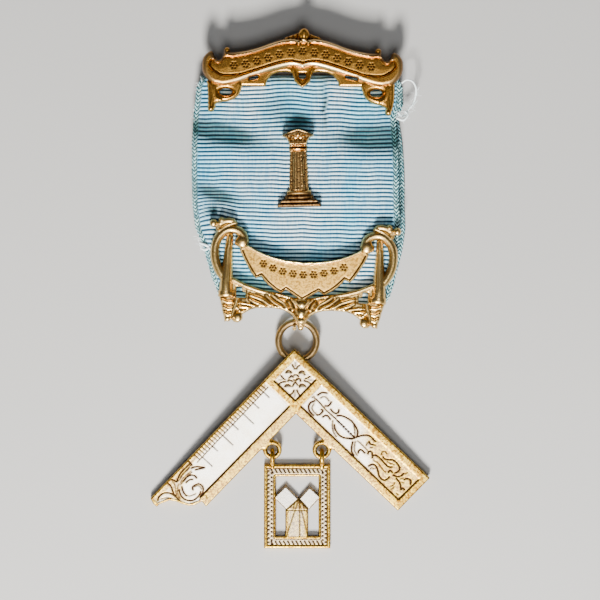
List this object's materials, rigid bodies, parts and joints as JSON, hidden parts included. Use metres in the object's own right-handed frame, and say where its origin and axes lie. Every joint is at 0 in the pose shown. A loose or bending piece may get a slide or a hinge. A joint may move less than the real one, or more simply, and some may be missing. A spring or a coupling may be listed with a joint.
{
  "type": "masonic breast jewel",
  "caption": "Masonic breast jewel lying on its back: gilt square with a hung framed figure, on a ring below a blue ribbon looped between an ornamental brooch bar and a lower bar.",
  "frame": {"origin": "centre of the bounding box's foot, on the surface that the jewel lies on", "axes": "+Y along the jewel towards the brooch bar, +Z out of its face, +X to the right as seen from the front"},
  "size_m": [0.0518, 0.096, 0.0066],
  "materials": {
    "orange_gold": "polished gilt, worn in the hollows",
    "pale_gold": "polished pale gilt",
    "brown_brass": "dull toned brass",
    "blue_cloth": "ribbed moire ribbon"
  },
  "bodies": {
    "root": {"brooch_bar": "orange_gold", "brooch_pin": "brown_brass", "ribbon": "blue_cloth", "pillar": "orange_gold", "pillar_keeper": "brown_brass", "lower_bar": "pale_gold", "jump_ring": "brown_brass", "square": "pale_gold", "hung_plate": "pale_gold"}
  },
  "joints": []
}
